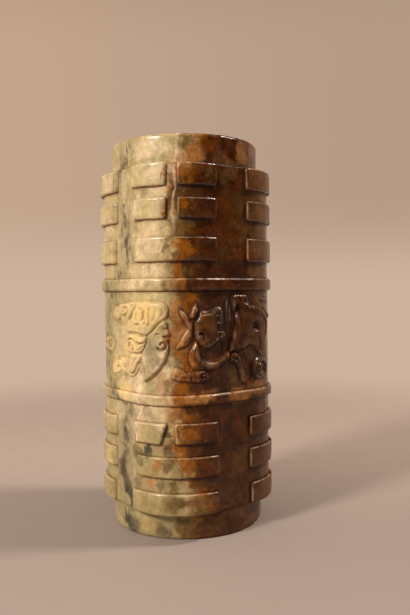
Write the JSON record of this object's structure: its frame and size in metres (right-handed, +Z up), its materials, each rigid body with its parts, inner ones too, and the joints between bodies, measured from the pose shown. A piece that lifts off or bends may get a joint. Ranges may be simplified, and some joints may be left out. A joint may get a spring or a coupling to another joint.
{
  "type": "jade cong tube",
  "caption": "Tall archaistic cong: a rounded square jade tube with round collars, trigram bars round its corners and a dragon frieze, open right through.",
  "frame": {"origin": "centre of the bore at the foot, on the surface that the tube stands on", "axes": "+Z up the bore; -X, +X, -Y and +Y are the four flats, and the pictured corner points to -X -Y"},
  "size_m": [0.084, 0.084, 0.2],
  "materials": {
    "mottled_jade": "gloss",
    "celadon_jade": "gloss",
    "russet_jade": "gloss"
  },
  "bodies": {
    "root": {"back_dragon_body": "celadon_jade", "back_dragon_claw": "celadon_jade", "back_dragon_ear": "celadon_jade", "back_dragon_haunch": "celadon_jade", "back_dragon_head": "celadon_jade", "back_dragon_paw": "celadon_jade", "back_dragon_tail": "celadon_jade", "bottom_collar": "mottled_jade", "frieze_ground": "mottled_jade", "front_dragon_body": "russet_jade", "front_dragon_claw": "russet_jade", "front_dragon_ear": "russet_jade", "front_dragon_haunch": "russet_jade", "front_dragon_head": "russet_jade", "front_dragon_paw": "russet_jade", "front_dragon_tail": "russet_jade", "left_dragon_ear": "celadon_jade", "left_dragon_haunch": "celadon_jade", "left_dragon_head": "celadon_jade", "left_dragon_mane": "celadon_jade", "left_dragon_paw": "celadon_jade", "lower_back_left_bar_bottom": "celadon_jade", "lower_back_left_bar_middle": "celadon_jade", "lower_back_left_bar_top": "celadon_jade", "lower_back_right_bar_bottom": "russet_jade", "lower_back_right_bar_middle": "russet_jade", "lower_back_right_bar_top": "russet_jade", "lower_band": "mottled_jade", "lower_front_left_bar_bottom": "celadon_jade", "lower_front_left_bar_middle": "celadon_jade", "lower_front_left_bar_top": "celadon_jade", "lower_front_right_bar_bottom": "russet_jade", "lower_front_right_bar_middle": "russet_jade", "lower_front_right_bar_top": "russet_jade", "lower_tier": "mottled_jade", "right_dragon_ear": "russet_jade", "right_dragon_haunch": "russet_jade", "right_dragon_head": "russet_jade", "right_dragon_mane": "russet_jade", "right_dragon_paw": "russet_jade", "top_collar": "mottled_jade", "upper_back_left_bar_bottom": "celadon_jade", "upper_back_left_bar_middle": "celadon_jade", "upper_back_left_bar_top": "celadon_jade", "upper_back_right_bar_bottom": "russet_jade", "upper_back_right_bar_middle": "russet_jade", "upper_back_right_bar_top": "russet_jade", "upper_band": "mottled_jade", "upper_front_left_bar_bottom": "celadon_jade", "upper_front_left_bar_middle": "celadon_jade", "upper_front_left_bar_top": "celadon_jade", "upper_front_right_bar_bottom": "russet_jade", "upper_front_right_bar_middle": "russet_jade", "upper_front_right_bar_top": "russet_jade", "upper_tier": "mottled_jade"}
  },
  "joints": []
}
